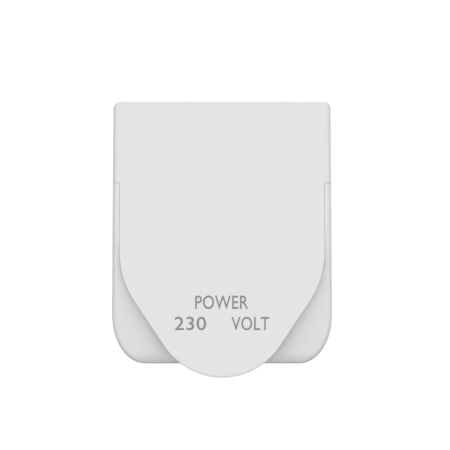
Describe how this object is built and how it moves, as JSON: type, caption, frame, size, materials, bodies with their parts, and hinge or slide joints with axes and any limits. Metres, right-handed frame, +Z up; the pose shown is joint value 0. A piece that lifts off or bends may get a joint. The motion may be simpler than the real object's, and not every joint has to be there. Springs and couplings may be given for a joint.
{
  "type": "generator inlet box",
  "caption": "Weatherproof surface-mounted power inlet box with recessed flat pins behind a sprung, top-hinged lid that hangs below the box in a round tongue.",
  "frame": {"origin": "middle of the box's back face, which lies on the wall", "axes": "+Z up along the box's height, -Y out of the wall towards the user, +Y into the wall, +X to the user's right"},
  "size_m": [0.0882, 0.057, 0.1104],
  "materials": {
    "white_plastic": "fine satin moulding, off-white, UV-stable",
    "grey_insulator": "fine matt moulding, dark grey",
    "black_rubber": "soft moulded rubber",
    "foam_seal": "closed-cell foam",
    "brass": "machined, lightly worn",
    "stainless_steel": "bright stainless",
    "spring_steel": "drawn stainless spring wire"
  },
  "bodies": {
    "box": {"rear_base": "white_plastic", "wall_gasket": "foam_seal", "body_gasket": "black_rubber", "front_housing": "white_plastic", "cover_screws": "stainless_steel", "cover_screw_seals": "black_rubber", "cable_grommet": "black_rubber", "conduit_plug": "white_plastic", "conduit_plug_seal": "black_rubber", "inlet_carrier": "grey_insulator", "carrier_seal": "black_rubber", "carrier_screws": "stainless_steel", "active_pin": "brass", "neutral_pin": "brass", "earth_pin": "brass", "active_terminal": "brass", "neutral_terminal": "brass", "earth_terminal": "brass", "terminal_screws": "stainless_steel", "hinge_pin": "stainless_steel", "lid_spring": "spring_steel"},
    "lid": {"lid": "white_plastic", "lid_gasket": "black_rubber"}
  },
  "joints": [
    {"name": "lid_hinge", "type": "hinge", "parent": "box", "child": "lid", "pos_m": [0, -0.042, 0.0475], "axis": [-1, 0, 0], "range_deg": [0, 100], "stiffness_Nm_per_rad": 0.02, "springref_deg": -85.94, "deforming": ["lid_spring"]}
  ]
}
